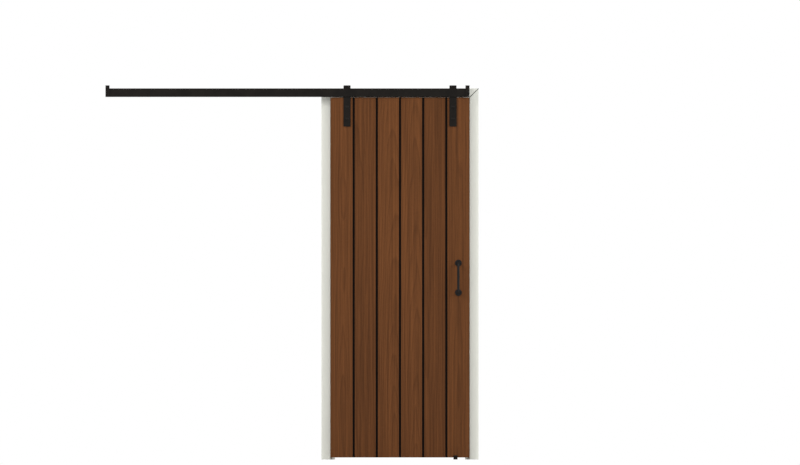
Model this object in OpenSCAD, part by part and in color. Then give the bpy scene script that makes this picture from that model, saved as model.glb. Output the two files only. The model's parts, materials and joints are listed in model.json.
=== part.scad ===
// Sliding plank door on a steel trough rail, with the cased frame of its doorway.
// Sizes are in millimetres: X runs to the right, Y into the wall and Z up.
// The origin is on the floor, midway between the jambs, at the wall's front face.

/* [Doorway] */
// Clear width between the side jambs
opening_w = 772; // [640:1:1100]
// Clear height under the head jamb
opening_h = 2120; // [1900:1:2400]
// Depth of the jambs, equal to the thickness of the wall
jamb_d = 116; // [95:1:250]
// Thickness of the jamb boards
jamb_t = 32; // [26:1:40]
// Depth of the rebate that seats the head jamb in each side jamb
jamb_rebate = 8; // [4:1:14]
// Bevel on the jambs' long edges
jamb_bevel = 1.5; // [0.5:0.5:3]

/* [Casing] */
// Width of the casing boards
casing_w = 54; // [48:1:90]
// Thickness of the casing boards
casing_t = 18; // [12:1:25]
// How far the casing laps onto the edge of the jamb
casing_lap = 6; // [3:1:10]
// Bevel on the casing's front edges
casing_bevel = 2; // [0.5:0.5:4]
// Half width and depth of the groove along the casing's mitres
mitre_groove = 2.5; // [0.5:0.5:4]

/* [Leaf] */
// How far the leaf laps past the opening at the sides and the top
leaf_lap = 26; // [20:1:32]
// Gap between the leaf and the floor
floor_gap = 12; // [8:1:18]
// Running gap between the leaf's back and the casing
back_gap = 5; // [3:0.5:12]

/* [Planks] */
// Number of planks
plank_n = 6; // [5:1:7]
// Thickness of the planks
plank_t = 25; // [22:1:35]
// Width of the open channel between two plank faces
channel_w = 12; // [4:1:14]
// Depth of that channel
channel_d = 9; // [5:0.5:10]
// Bevel along the front and back edges of the planks
plank_bevel = 1.5; // [0.5:0.5:3]
// Thickness of the tongues
tongue_t = 6; // [4:0.5:8]
// Length of the tongues
tongue_l = 7; // [5:0.5:10]

/* [Ledges] */
// Height of the ledges across the back of the leaf
ledge_h = 130; // [115:1:145]
// Thickness of the ledges
ledge_t = 20; // [17:1:28]
// How far the ledges stop short of the leaf's edges
ledge_inset = 20; // [5:1:26]
// Height of the bottom ledge's middle above the floor
bottom_ledge_z = 190; // [130:1:400]
// Bevel on the ledges' back edges
ledge_bevel = 4; // [1:0.5:6]

/* [Ledge screws] */
// Radius of the ledge screws
ledge_screw_r = 2.2; // [1.5:0.1:3]
// Radius of their countersunk heads
ledge_screw_head_r = 4.5; // [3.5:0.1:6]
// Height of their countersunk heads
ledge_screw_head_h = 3; // [2:0.5:4]
// Depth that they bite into a plank
ledge_screw_bite = 15; // [10:1:18]
// Distance of each ledge screw to the side of its plank's middle
ledge_screw_dx = 36; // [20:1:40]
// Distance of each ledge screw above or below its ledge's middle
ledge_screw_dz = 14; // [5:1:18]

/* [Rail] */
// Length of the rail
rail_l = 2158; // [1800:1:2600]
// Height of the rail
rail_h = 51; // [45:1:60]
// Thickness of the rail's folded steel
rail_wall = 3; // [2:0.5:4]
// Inner radius of the rail's folds
rail_fold = 2; // [1:0.5:4]
// Gap between the leaf's top and the rail
rail_gap = 3; // [2:0.5:12]
// Radius of the bead that the wheels run on
bead_r = 4; // [3:0.5:5]
// Gap between a strap and each side of the rail's slot
slot_clear = 2; // [1:0.5:2.5]
// Room between a strap's face and the rail's front wall, for an axle head
head_room = 6; // [5:0.5:12]
// Room between the wheels and the rail's back wall, for the lag screw heads
bolt_room = 10; // [8:0.5:15]

/* [Rail fixings] */
// Number of lag screws along the rail
lag_n = 7; // [5:1:8]
// Distance of the first lag screw from the rail's left end
lag_inset_left = 96; // [60:1:200]
// Distance of the last lag screw from the rail's right end
lag_inset_right = 62; // [45:1:150]
// Radius of the lag screws' plain shank
lag_r = 4; // [3:0.25:5]
// Core radius of the lag screws' threaded end
lag_thread_r = 3.5; // [2.5:0.25:4.5]
// Length of the threaded end in the wall
lag_thread_l = 50; // [35:1:80]
// Length of the pointed tip
lag_tip_l = 8; // [5:1:12]
// Radius at the end of the tip
lag_tip_r = 0.8; // [0.5:0.1:2]
// Width across the flats of the lag screw heads
lag_af = 13; // [10:1:15]
// Height of the lag screw heads
lag_head_h = 5.5; // [4:0.5:6]
// How far the flange under a lag screw head stands out
lag_flange = 1; // [0.5:0.25:1.5]
// Thickness of that flange
lag_flange_t = 1.2; // [0.8:0.1:2]
// Radius of the spacers behind the rail
spacer_r = 11; // [9:0.5:13]

/* [End stops] */
// Width of the end stops along the rail
stop_w = 24; // [18:1:36]
// Height of the end stops above the rail
stop_rise = 18; // [10:1:30]
// Thickness of the cheek over the rail's front
stop_cheek = 5; // [3:0.5:8]
// Bevel on the end stops' top edges
stop_bevel = 2; // [0.5:0.5:4]
// Radius of the rubber bumpers
bumper_r = 7; // [5:0.5:8]
// Length of the rubber bumpers
bumper_l = 6; // [4:0.5:12]
// Radius of the end stop screws
stop_screw_r = 3; // [2:0.5:4]
// Depth of the end stop screws in the stop's plug
stop_screw_bite = 14; // [8:1:20]

/* [Hanger straps] */
// Width of the straps
strap_w = 42; // [42:1:60]
// Thickness of the straps
strap_t = 6; // [4:0.5:8]
// Distance of a strap's middle from the leaf's edge
strap_inset = 98; // [75:1:110]
// Height of the straps above the rail
strap_rise = 18; // [8:1:30]
// Length of the straps below the rail
strap_drop = 175; // [150:1:240]
// Corner radius of the straps
strap_corner = 3; // [1:0.5:8]
// Radius of the strap bolts
strap_bolt_r = 4; // [3:0.25:5]
// Distance of the lower strap bolt from the strap's foot
strap_bolt_foot = 45; // [25:1:60]
// Distance between the two bolts of a strap
strap_bolt_pitch = 70; // [50:1:80]

/* [Wheels] */
// Radius of the wheels at the bottom of their groove
tread_r = 17; // [15:0.5:17]
// Width of the wheels
wheel_w = 14; // [13:0.5:18]
// Gap between a strap and its wheel
wheel_gap = 2; // [1:0.5:4]
// Radius of the axles
axle_r = 4; // [3:0.25:5]
// Outer radius of the bearings
bearing_r = 11; // [10:0.5:12]
// Width of the bearings
bearing_w = 7; // [5:0.5:8]
// Radius of the wheel's lip behind the bearing
wheel_lip_r = 9.2; // [8.5:0.1:9.5]

/* [Pull handle] */
// Distance of the pull from the leaf's right edge
pull_inset = 66; // [45:1:100]
// Height of the pull's middle above the floor
pull_z = 1077; // [900:1:1200]
// Distance between the pull's posts
pull_span = 175; // [165:1:300]
// Radius of the grip
grip_r = 7; // [6:0.5:9]
// Distance of the grip's axis from the leaf
pull_reach = 48; // [35:1:70]
// Bend radius of the grip's elbows
elbow_r = 16; // [12:1:22]
// Radius of the rosettes
rosette_r = 20; // [15:0.5:30]
// Thickness of the rosettes
rosette_t = 6; // [4:0.5:10]
// Bevel on the rosettes' rim
rosette_bevel = 2.5; // [1:0.5:3]
// Radius of the pull's screws
pull_screw_r = 3; // [2:0.5:4]
// Depth of the pull's screws in its posts
pull_screw_bite = 16; // [8:1:20]

/* [Floor guide] */
// Width of the guide along the leaf
guide_w = 24; // [18:1:80]
// Height of the guide's lips
guide_h = 24; // [20:1:40]
// Distance of the guide's middle from the leaf's right edge
guide_inset = 83; // [40:1:200]
// Height of the guide's feet
guide_foot_h = 12; // [8:1:16]
// Length of each foot beyond its lip
guide_foot_l = 18; // [16:1:24]
// Thickness of the guide's sole under the leaf
guide_sole_t = 5; // [3:0.5:6]
// Thickness of the guide's lips
guide_lip_t = 4; // [3:0.5:8]
// Thickness of the slide pads
pad_t = 1.5; // [1:0.5:3]
// Margin of the pads inside the lips
pad_margin = 1.5; // [0.5:0.5:4]
// Lead-in bevel at the ends of the pads
pad_lead = 0.8; // [0.2:0.1:0.9]
// Radius of the floor screw holes
guide_hole_r = 2.75; // [2:0.25:4]
// Radius of their countersinks
guide_sink_r = 5.5; // [4.5:0.5:7]

/* [Bolt heads and nuts] */
// Radius of the strap bolts' round heads
round_head_r = 10; // [7:0.5:12]
// Height of the round heads
round_head_h = 4.5; // [3:0.5:6]
// Height of the straight rim under a round head
round_head_rim = 1.2; // [0.5:0.1:2]
// Radius of the axles' low heads
axle_head_r = 9; // [6:0.5:10]
// Height of the axles' low heads
axle_head_h = 4; // [3:0.5:4.5]
// Radius of the small screw heads
small_head_r = 5.5; // [4.5:0.25:7]
// Height of the small screw heads
small_head_h = 3.5; // [2.5:0.25:4.5]
// Width across the flats of the nuts
nut_af = 13; // [11:0.5:14]
// Height of the strap nuts
nut_h = 6.5; // [4:0.5:8]
// Height of the thin axle nuts
thin_nut_h = 4; // [3:0.5:4.5]
// Radius of the washers
washer_r = 8.5; // [7:0.5:9.5]
// Thickness of the washers
washer_t = 1.6; // [1:0.1:2.5]
// Radius of the pockets for the strap nuts
pocket_r = 11; // [10:0.5:13]
// How far a strap bolt ends inside the leaf's back
bolt_end = 1; // [0.5:0.5:2]
// Outer radius of the axle bushes
bush_r = 6; // [5.5:0.25:7]

/* [Clearances] */
// Gap between pieces that are pushed together
fit = 0.1; // [0.05:0.05:0.2]
// Gap around a bolt in its hole
hole_clear = 0.25; // [0.1:0.05:0.5]
// Gap between an axle and its bearing
run_clear = 0.05; // [0.02:0.01:0.1]
// Gap at each end of a bearing
end_play = 0.2; // [0.1:0.05:0.3]
// Gap between a wheel's groove and the bead
wheel_clear = 0.3; // [0.2:0.05:0.6]
// Depth by which a wheel's flange stays above the bead's foot
flange_clear = 0.5; // [0.3:0.1:1]
// Gap between two planks at their backs
joint_gap = 0.4; // [0.2:0.1:1]
// Gap around a tongue in its groove
tongue_clear = 0.3; // [0.2:0.1:0.6]
// Gap between the leaf and each slide pad
pad_gap = 0.4; // [0.3:0.1:1.5]

/* [Hidden] */
// Overshoot of cuts and laps, so that no two faces coincide
cut = 1;
// Fineness of round edges
$fn = 64;

// Outline of the doorway and the casing
half_open = opening_w / 2;
casing_in = half_open + jamb_t - casing_lap;
casing_out = casing_in + casing_w;
casing_low = opening_h + jamb_t - casing_lap;
casing_top = casing_low + casing_w;

// Outline of the leaf
half_leaf = half_open + leaf_lap;
leaf_top = opening_h + leaf_lap;
leaf_h = leaf_top - floor_gap;
plank_pitch = 2 * half_leaf / plank_n;

// Depths, from the wall's face out to the rail's front
leaf_back = -casing_t - back_gap;
plank_back = leaf_back - ledge_t;
leaf_front = plank_back - plank_t;
strap_front = leaf_front - strap_t;
wheel_front = leaf_front + wheel_gap;
wheel_back = wheel_front + wheel_w;
bearing_front = (wheel_front + wheel_back - bearing_w) / 2;
bearing_back = bearing_front + bearing_w;
bead_y = (wheel_front + wheel_back) / 2;
rail_in_back = wheel_back + bolt_room;
rail_back = rail_in_back + rail_wall;
rail_in_front = strap_front - head_room;
rail_front = rail_in_front - rail_wall;

// Rail, from the leaf's top upwards
rail_right = half_leaf;
rail_left = rail_right - rail_l;
rail_low = leaf_top + rail_gap;
rail_floor = rail_low + rail_wall;
rail_top = rail_low + rail_h;
rail_mid = rail_low + rail_h / 2;
lag_pitch = (rail_l - lag_inset_left - lag_inset_right) / (lag_n - 1);
lag_x = [for (i = [0 : lag_n - 1]) rail_left + lag_inset_left + i * lag_pitch];
wall_lag_x = [for (x = lag_x) if (abs(x) >= casing_out + spacer_r) x];
casing_lag_x = [for (x = lag_x) if (abs(x) < casing_out + spacer_r) x];
stop_x = [rail_left, rail_right - stop_w];
stop_step = stop_cheek / 2;

// Wheels and straps
axle_z = rail_floor + bead_r + wheel_clear + tread_r;
groove_at = tread_r + wheel_clear + bead_r;
flange_r = tread_r + bead_r - flange_clear;
strap_x = half_leaf - strap_inset;
strap_foot = rail_low - strap_drop;
strap_bolt_z = [strap_foot + strap_bolt_foot, strap_foot + strap_bolt_foot + strap_bolt_pitch];
pocket_d = washer_t + nut_h + 2 * bolt_end;

// Ledges: the top one backs the strap bolts and the middle one the pull
top_ledge_z = (strap_bolt_z[0] + strap_bolt_z[1]) / 2;
middle_ledge_z = pull_z;
ledge_zs = [top_ledge_z, middle_ledge_z, bottom_ledge_z];
ledge_screw_at = [[-ledge_screw_dx, ledge_screw_dz], [ledge_screw_dx, -ledge_screw_dz]];

// Pull handle and floor guide
pull_x = half_leaf - pull_inset;
pull_zs = [pull_z - pull_span / 2, pull_z + pull_span / 2];
guide_x = half_leaf - guide_inset;
front_pad = leaf_front - pad_gap - pad_t;
back_pad = plank_back + pad_gap;
guide_front = front_pad - guide_lip_t - guide_foot_l;
guide_back = back_pad + pad_t + guide_lip_t + guide_foot_l;
guide_hole_y = [guide_front + guide_foot_l / 2, guide_back - guide_foot_l / 2];

// Colours
plank_brown = [0.39, 0.25, 0.15];
ledge_brown = [0.36, 0.23, 0.14];
rail_black = [0.14, 0.125, 0.115];
casing_paint = [0.84, 0.84, 0.81];
zinc_grey = [0.6, 0.6, 0.62];
wheel_grey = [0.3, 0.3, 0.31];
rubber_black = [0.05, 0.05, 0.05];

PLANKS = [for (i = [1 : plank_n]) str("plank_", i)];

// Circumscribed radius of a hexagon from its width across the flats
function hex_r(flats) = flats / (2 * cos(30));

// Left and right edge of a plank, counted from 1 at the left
function plank_left(i) = -half_leaf + (i - 1) * plank_pitch + (i > 1 ? joint_gap / 2 : 0);
function plank_right(i) = -half_leaf + i * plank_pitch - (i < plank_n ? joint_gap / 2 : 0);
function plank_mid(i) = -half_leaf + (i - 0.5) * plank_pitch;

// Box between two corners, each axis given as [low, high]
module box(x, y, z) {
    translate([x[0], y[0], z[0]])
        cube([x[1] - x[0], y[1] - y[0], z[1] - z[0]]);
}

// Outline in Y and Z, drawn out along X
module along_x(from, to) {
    translate([from, 0, 0])
        rotate([90, 0, 90])
            linear_extrude(to - from)
                children();
}

// Outline in X and Z, drawn out along Y
module along_y(from, to) {
    translate([0, to, 0])
        rotate([90, 0, 0])
            linear_extrude(to - from)
                children();
}

// Places a piece whose local Z points out of the wall, towards the front
module facing_front(x, y, z) {
    translate([x, y, z])
        rotate([90, 0, 0])
            children();
}

// Places a piece whose local Z points into the wall, towards the back
module facing_back(x, y, z) {
    translate([x, y, z])
        rotate([-90, 0, 0])
            children();
}

// Round hole through everything from one depth to another
module hole_y(x, z, r, from, to) {
    facing_back(x, from - cut, z)
        cylinder(h = to - from + 2 * cut, r = r);
}

// Upright rectangle whose two lower corners are rounded
module trough_outline(y, z, r) {
    translate([y[0] + r, z[0]])
        square([y[1] - y[0] - 2 * r, z[1] - z[0]]);
    translate([y[0], z[0] + r])
        square([y[1] - y[0], z[1] - z[0] - r]);
    for (at = [y[0] + r, y[1] - r])
        translate([at, z[0] + r])
            circle(r);
}

// Spherical cap on the plane z = 0
module cap(r, h) {
    ball_r = (r * r + h * h) / (2 * h);
    intersection() {
        translate([0, 0, h - ball_r])
            sphere(ball_r);
        cylinder(h = 2 * h, r = 2 * r);
    }
}

// Low round bolt head with a straight rim
module round_head(r, h) {
    cylinder(h = round_head_rim, r = r);
    translate([0, 0, round_head_rim])
        cap(r, h - round_head_rim);
}

// Round head with a six-sided key socket
module socket_head(r, h) {
    difference() {
        round_head(r, h);
        translate([0, 0, h / 3])
            cylinder(h = h, r = r / 2, $fn = 6);
    }
}

// Plain ring
module ring(r_out, r_in, h) {
    difference() {
        cylinder(h = h, r = r_out);
        translate([0, 0, -cut])
            cylinder(h = h + 2 * cut, r = r_in);
    }
}

// Six-sided nut
module nut(h, bore_r) {
    difference() {
        cylinder(h = h, r = hex_r(nut_af), $fn = 6);
        translate([0, 0, -cut])
            cylinder(h = h + 2 * cut, r = bore_r);
    }
}

// Side jamb on the right, rebated at its top for the head jamb
module side_jamb() {
    color(casing_paint)
        difference() {
            linear_extrude(opening_h + jamb_t)
                polygon([
                    [half_open, jamb_bevel],
                    [half_open + jamb_bevel, 0],
                    [half_open + jamb_t, 0],
                    [half_open + jamb_t, jamb_d],
                    [half_open + jamb_bevel, jamb_d],
                    [half_open, jamb_d - jamb_bevel]
                ]);
            box(
                [half_open - cut, half_open + jamb_rebate],
                [-cut, jamb_d + cut],
                [opening_h, opening_h + jamb_t + cut]
            );
        }
}

// Head jamb, seated in the rebates of the side jambs
module head_jamb() {
    color(casing_paint)
        along_x(-half_open - jamb_rebate, half_open + jamb_rebate)
            polygon([
                [0, opening_h],
                [jamb_d, opening_h],
                [jamb_d, opening_h + jamb_t],
                [0, opening_h + jamb_t]
            ]);
}

// Section of a casing board: across its width, then out of the wall
module casing_section() {
    polygon([
        [0, 0],
        [casing_w, 0],
        [casing_w, casing_bevel - casing_t],
        [casing_w - casing_bevel, -casing_t],
        [casing_bevel, -casing_t],
        [0, casing_bevel - casing_t]
    ]);
}

// Half space on one side of the mitre at the casing's right corner
module mitre_side(above) {
    reach = 2 * casing_w;
    translate([casing_in, 0, casing_low])
        rotate([0, -45, 0])
            box([-reach, reach], [-casing_t - cut, cut], above ? [0, reach] : [-reach, 0]);
}

// Half space in front of the bevel that one side of that mitre gives to its groove
module mitre_bevel_side(above) {
    reach = 2 * casing_w;
    translate([casing_in, mitre_groove - casing_t, casing_low])
        rotate([above ? 45 : -45, -45, 0])
            box([-reach, reach], [-reach, 0], [-reach, reach]);
}

// Right leg of the front casing
module casing_leg() {
    color(casing_paint)
        difference() {
            translate([casing_in, 0, 0])
                linear_extrude(casing_top + cut)
                    casing_section();
            mitre_side(above = true);
            mitre_bevel_side(above = false);
        }
}

// Head of the casing, before any holes
module casing_head() {
    color(casing_paint)
        difference() {
            along_x(-casing_out - cut, casing_out + cut)
                translate([0, casing_low])
                    mirror([1, -1])
                        casing_section();
            for (side = [0, 1])
                mirror([side, 0, 0]) {
                    mitre_side(above = false);
                    mitre_bevel_side(above = true);
                }
        }
}

// Drills a front casing board for the lag screws that pass through it
module drilled_for_lags() {
    color(casing_paint)
        difference() {
            children();
            for (x = casing_lag_x)
                hole_y(x, rail_mid, lag_r + hole_clear, -casing_t, 0);
        }
}

// Turns a front casing board to the wall's far face
module on_back_face() {
    translate([0, jamb_d, 0])
        mirror([0, 1, 0])
            children();
}

// Folded steel trough, open at the top, with a slot for the straps and a bead for the wheels
module rail() {
    color(rail_black)
        difference() {
            union() {
                along_x(rail_left, rail_right)
                    difference() {
                        trough_outline([rail_front, rail_back], [rail_low, rail_top], rail_fold + rail_wall);
                        trough_outline(
                            [rail_in_front, rail_in_back],
                            [rail_floor, rail_top + cut],
                            rail_fold
                        );
                    }
                along_x(rail_left + stop_w, rail_right - stop_w)
                    intersection() {
                        translate([bead_y, rail_floor])
                            circle(bead_r);
                        translate([bead_y - bead_r, rail_floor - cut])
                            square([2 * bead_r, 2 * bead_r]);
                    }
            }
            box(
                [rail_left + stop_w, rail_right - stop_w],
                [strap_front - slot_clear, leaf_front + slot_clear],
                [rail_low - cut, rail_floor + cut]
            );
            for (x = lag_x)
                hole_y(x, rail_mid, lag_r + hole_clear, rail_in_back, rail_back);
            for (x = stop_x)
                hole_y(x + stop_w / 2, rail_mid, stop_screw_r + hole_clear, rail_front, rail_in_front);
        }
}

// Tubes between the rail and what is behind it
module spacers(xs, seat_y) {
    color(rail_black)
        for (x = xs)
            facing_back(x, rail_back, rail_mid)
                ring(spacer_r, lag_r + hole_clear, seat_y - rail_back);
}

// Screws that hold the rail: head in the trough, plain shank, threaded end in the wall
module lag_screws() {
    color(zinc_grey)
        for (x = lag_x) {
            facing_front(x, rail_in_back, rail_mid) {
                cylinder(h = lag_flange_t, r = hex_r(lag_af) + lag_flange);
                cylinder(h = lag_head_h, r = hex_r(lag_af), $fn = 6);
            }
            facing_back(x, rail_in_back, rail_mid) {
                cylinder(h = -rail_in_back, r = lag_r);
                translate([0, 0, -rail_in_back]) {
                    cylinder(h = lag_thread_l, r = lag_thread_r);
                    translate([0, 0, lag_thread_l])
                        cylinder(h = lag_tip_l, r1 = lag_thread_r, r2 = lag_tip_r);
                }
            }
        }
}

// End stop: a plug in the trough, a head above it and a cheek over its front
module end_stop(x) {
    color(rail_black)
        difference() {
            along_x(x, x + stop_w) {
                trough_outline(
                    [rail_in_front + fit, rail_in_back - fit],
                    [rail_floor, rail_top + cut],
                    rail_fold
                );
                polygon([
                    [rail_front - stop_step, rail_top],
                    [rail_back, rail_top],
                    [rail_back, rail_top + stop_rise - stop_bevel],
                    [rail_back - stop_bevel, rail_top + stop_rise],
                    [rail_front - stop_step + stop_bevel, rail_top + stop_rise],
                    [rail_front - stop_step, rail_top + stop_rise - stop_bevel]
                ]);
                translate([rail_front - stop_cheek, rail_low])
                    square([stop_cheek, rail_h]);
                translate([rail_front - stop_step, rail_low])
                    square([stop_step, rail_h + cut]);
            }
            hole_y(
                x + stop_w / 2,
                rail_mid,
                stop_screw_r + fit,
                rail_front - stop_cheek,
                rail_in_front + stop_screw_bite
            );
        }
}

// Rubber button on the inner face of an end stop
module bumper(x, turn) {
    color(rubber_black)
        translate([x, (strap_front + leaf_front) / 2, rail_mid])
            rotate([0, turn, 0])
                round_head(bumper_r, bumper_l);
}

// Screws through the cheeks of both end stops
module stop_screws() {
    color(zinc_grey)
        for (x = stop_x) {
            facing_front(x + stop_w / 2, rail_front - stop_cheek, rail_mid)
                socket_head(small_head_r, small_head_h);
            facing_back(x + stop_w / 2, rail_front - stop_cheek, rail_mid)
                cylinder(h = stop_cheek + rail_wall + stop_screw_bite, r = stop_screw_r);
        }
}

// Floor guide: a sole under the leaf, two lips beside it and two screwed feet
module floor_guide() {
    color(rail_black)
        difference() {
            along_x(guide_x - guide_w / 2, guide_x + guide_w / 2) {
                translate([guide_front, 0])
                    square([guide_back - guide_front, guide_sole_t]);
                for (lip = [front_pad - guide_lip_t, back_pad + pad_t])
                    translate([lip, 0])
                        square([guide_lip_t, guide_h]);
                for (foot = [guide_front, guide_back - guide_foot_l - guide_lip_t])
                    translate([foot, 0])
                        square([guide_foot_l + guide_lip_t, guide_foot_h]);
            }
            for (y = guide_hole_y)
                translate([guide_x, y, -cut]) {
                    cylinder(h = guide_foot_h + 2 * cut, r = guide_hole_r);
                    translate([0, 0, guide_foot_h + cut - guide_sink_r + guide_hole_r])
                        cylinder(h = guide_sink_r - guide_hole_r, r1 = guide_hole_r, r2 = guide_sink_r);
                }
        }
}

// Outline of a slide pad from its middle, bevelled at the ends that the leaf meets first
module pad_outline() {
    half_w = guide_w / 2 - pad_margin;
    polygon([
        [-half_w, 0],
        [half_w, 0],
        [half_w, pad_t - pad_lead],
        [half_w - pad_lead, pad_t],
        [pad_lead - half_w, pad_t],
        [-half_w, pad_t - pad_lead]
    ]);
}

// Slide pads on the inner faces of the guide's lips
module guide_pads() {
    color(wheel_grey)
        translate([guide_x, 0, guide_sole_t + pad_margin])
            linear_extrude(guide_h - guide_sole_t - 2 * pad_margin) {
                translate([0, front_pad])
                    pad_outline();
                translate([0, back_pad + pad_t])
                    mirror([0, 1])
                        pad_outline();
            }
}

// Section of a plank, with a groove on its left and a tongue on its right
module plank_section(i) {
    left_joint = i > 1;
    right_joint = i < plank_n;
    left = plank_left(i);
    right = plank_right(i);
    face_left = left_joint ? left + (channel_w - joint_gap) / 2 : left;
    face_right = right_joint ? right - (channel_w - joint_gap) / 2 : right;
    face_edges = [[face_left, leaf_front], [face_right, leaf_front]];
    back_edges = [[left, plank_back], [right, plank_back]];
    tongue_y = leaf_front + channel_d + (plank_t - channel_d - tongue_t) / 2;
    difference() {
        union() {
            translate([left, leaf_front])
                square([right - left, plank_t]);
            if (right_joint)
                translate([right - tongue_l, tongue_y])
                    square([2 * tongue_l, tongue_t]);
        }
        if (left_joint) {
            translate([left - cut, leaf_front - cut])
                square([face_left - left + cut, channel_d + cut]);
            translate([left - cut, tongue_y - tongue_clear])
                square([tongue_l + tongue_clear + cut, tongue_t + 2 * tongue_clear]);
        }
        if (right_joint)
            translate([face_right, leaf_front - cut])
                square([right - face_right + cut, channel_d + cut]);
        for (edge = concat(face_edges, back_edges))
            translate(edge)
                rotate(45)
                    square(plank_bevel * sqrt(2), center = true);
    }
}

// Holes through the leaf for the strap bolts and the pull's screws
module leaf_holes() {
    for (x = [-strap_x, strap_x], z = strap_bolt_z)
        hole_y(x, z, strap_bolt_r + hole_clear, leaf_front, leaf_back);
    for (z = pull_zs)
        hole_y(pull_x, z, pull_screw_r + hole_clear, leaf_front, plank_back);
}

// Plank, drilled for what passes through it and piloted for the ledge screws
module plank(i) {
    color(plank_brown)
        difference() {
            translate([0, 0, floor_gap])
                linear_extrude(leaf_h)
                    plank_section(i);
            leaf_holes();
            for (z = ledge_zs, at = ledge_screw_at)
                facing_front(plank_mid(i) + at[0], plank_back + cut, z + at[1])
                    cylinder(h = ledge_screw_bite + 2 * cut, r = ledge_screw_r + fit);
        }
}

// Ledge across the back of the planks, countersunk for its screws
module ledge(z) {
    color(ledge_brown)
        difference() {
            along_x(-half_leaf + ledge_inset, half_leaf - ledge_inset)
                polygon([
                    [plank_back, z - ledge_h / 2],
                    [leaf_back - ledge_bevel, z - ledge_h / 2],
                    [leaf_back, z - ledge_h / 2 + ledge_bevel],
                    [leaf_back, z + ledge_h / 2 - ledge_bevel],
                    [leaf_back - ledge_bevel, z + ledge_h / 2],
                    [plank_back, z + ledge_h / 2]
                ]);
            for (i = [1 : plank_n], at = ledge_screw_at) {
                hole_y(plank_mid(i) + at[0], z + at[1], ledge_screw_r + fit, plank_back, leaf_back);
                facing_front(plank_mid(i) + at[0], leaf_back, z + at[1])
                    cylinder(
                        h = ledge_screw_head_h,
                        r1 = ledge_screw_head_r + fit,
                        r2 = ledge_screw_r + fit
                    );
            }
        }
}

// Top ledge, with holes and nut pockets for the strap bolts
module top_ledge() {
    color(ledge_brown)
        difference() {
            ledge(top_ledge_z);
            for (x = [-strap_x, strap_x], z = strap_bolt_z) {
                hole_y(x, z, strap_bolt_r + hole_clear, plank_back, leaf_back);
                facing_front(x, leaf_back + cut, z)
                    cylinder(h = pocket_d + cut, r = pocket_r);
            }
        }
}

// Countersunk screws that hold the ledges to the planks
module ledge_screws() {
    color(zinc_grey)
        for (z = ledge_zs, i = [1 : plank_n], at = ledge_screw_at)
            facing_front(plank_mid(i) + at[0], leaf_back, z + at[1])
                difference() {
                    union() {
                        cylinder(h = ledge_screw_head_h, r1 = ledge_screw_head_r, r2 = ledge_screw_r);
                        cylinder(h = ledge_t + ledge_screw_bite, r = ledge_screw_r);
                    }
                    translate([0, 0, -cut])
                        cylinder(h = ledge_screw_head_h / 2 + cut, r = ledge_screw_r / 2, $fn = 4);
                }
}

// Flat steel strap that hangs the leaf from an axle
module strap(x) {
    top = rail_top + strap_rise;
    color(rail_black)
        difference() {
            along_y(strap_front, leaf_front) {
                translate([x - strap_w / 2 + strap_corner, strap_foot])
                    square([strap_w - 2 * strap_corner, top - strap_foot]);
                translate([x - strap_w / 2, strap_foot + strap_corner])
                    square([strap_w, top - strap_foot - 2 * strap_corner]);
                for (side = [-1, 1], z = [strap_foot + strap_corner, top - strap_corner])
                    translate([x + side * (strap_w / 2 - strap_corner), z])
                        circle(strap_corner);
            }
            hole_y(x, axle_z, axle_r + hole_clear, strap_front, leaf_front);
            for (z = strap_bolt_z)
                hole_y(x, z, strap_bolt_r + hole_clear, strap_front, leaf_front);
        }
}

// Bolts through the straps, the planks and the top ledge
module strap_bolts() {
    color(rail_black)
        for (x = [-strap_x, strap_x], z = strap_bolt_z) {
            facing_front(x, strap_front, z)
                round_head(round_head_r, round_head_h);
            facing_back(x, strap_front, z)
                cylinder(h = leaf_back - bolt_end - strap_front, r = strap_bolt_r);
        }
}

// Washers on the floors of the nut pockets
module strap_washers() {
    color(zinc_grey)
        for (x = [-strap_x, strap_x], z = strap_bolt_z)
            facing_back(x, leaf_back - pocket_d, z)
                ring(washer_r, strap_bolt_r + hole_clear, washer_t);
}

// Nuts on the strap bolts
module strap_nuts() {
    color(zinc_grey)
        for (x = [-strap_x, strap_x], z = strap_bolt_z)
            facing_back(x, leaf_back - pocket_d + washer_t, z)
                nut(nut_h, strap_bolt_r + fit);
}

// Axle through a strap, with its head in front and its wheel behind
module axle(x) {
    color(zinc_grey) {
        facing_front(x, strap_front, axle_z)
            round_head(axle_head_r, axle_head_h);
        facing_back(x, strap_front, axle_z)
            cylinder(h = bearing_back + end_play + thin_nut_h + end_play - strap_front, r = axle_r);
    }
}

// Bushes that keep the wheels clear of the straps
module axle_bushes() {
    color(zinc_grey)
        for (x = [-strap_x, strap_x])
            facing_back(x, leaf_front, axle_z)
                ring(bush_r, axle_r + run_clear, bearing_front - end_play - leaf_front);
}

// Thin nuts that keep the bearings on the axles
module axle_nuts() {
    color(zinc_grey)
        for (x = [-strap_x, strap_x])
            facing_back(x, bearing_back + end_play, axle_z)
                nut(thin_nut_h, axle_r + run_clear);
}

// Grooved wheel that runs on the bead, with a lip behind its bearing
module wheel(x) {
    color(wheel_grey)
        facing_back(x, wheel_front, axle_z)
            rotate_extrude()
                difference() {
                    union() {
                        translate([bearing_r + run_clear, 0])
                            square([flange_r - bearing_r - run_clear, wheel_w]);
                        translate([wheel_lip_r, bearing_back - wheel_front])
                            square([bearing_r - wheel_lip_r + cut, wheel_back - bearing_back]);
                    }
                    translate([groove_at, wheel_w / 2])
                        circle(bead_r + wheel_clear);
                }
}

// Ball bearing in a wheel, closed by shields between its two races
module bearing(x) {
    race = (bearing_r - axle_r) / 3;
    shield_d = bearing_w / 10;
    color(zinc_grey)
        facing_back(x, bearing_front, axle_z)
            rotate_extrude()
                difference() {
                    translate([axle_r + run_clear, 0])
                        square([bearing_r - axle_r - run_clear, bearing_w]);
                    for (face = [0, bearing_w])
                        translate([axle_r + race, face - shield_d])
                            square([race, 2 * shield_d]);
                }
}

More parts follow.
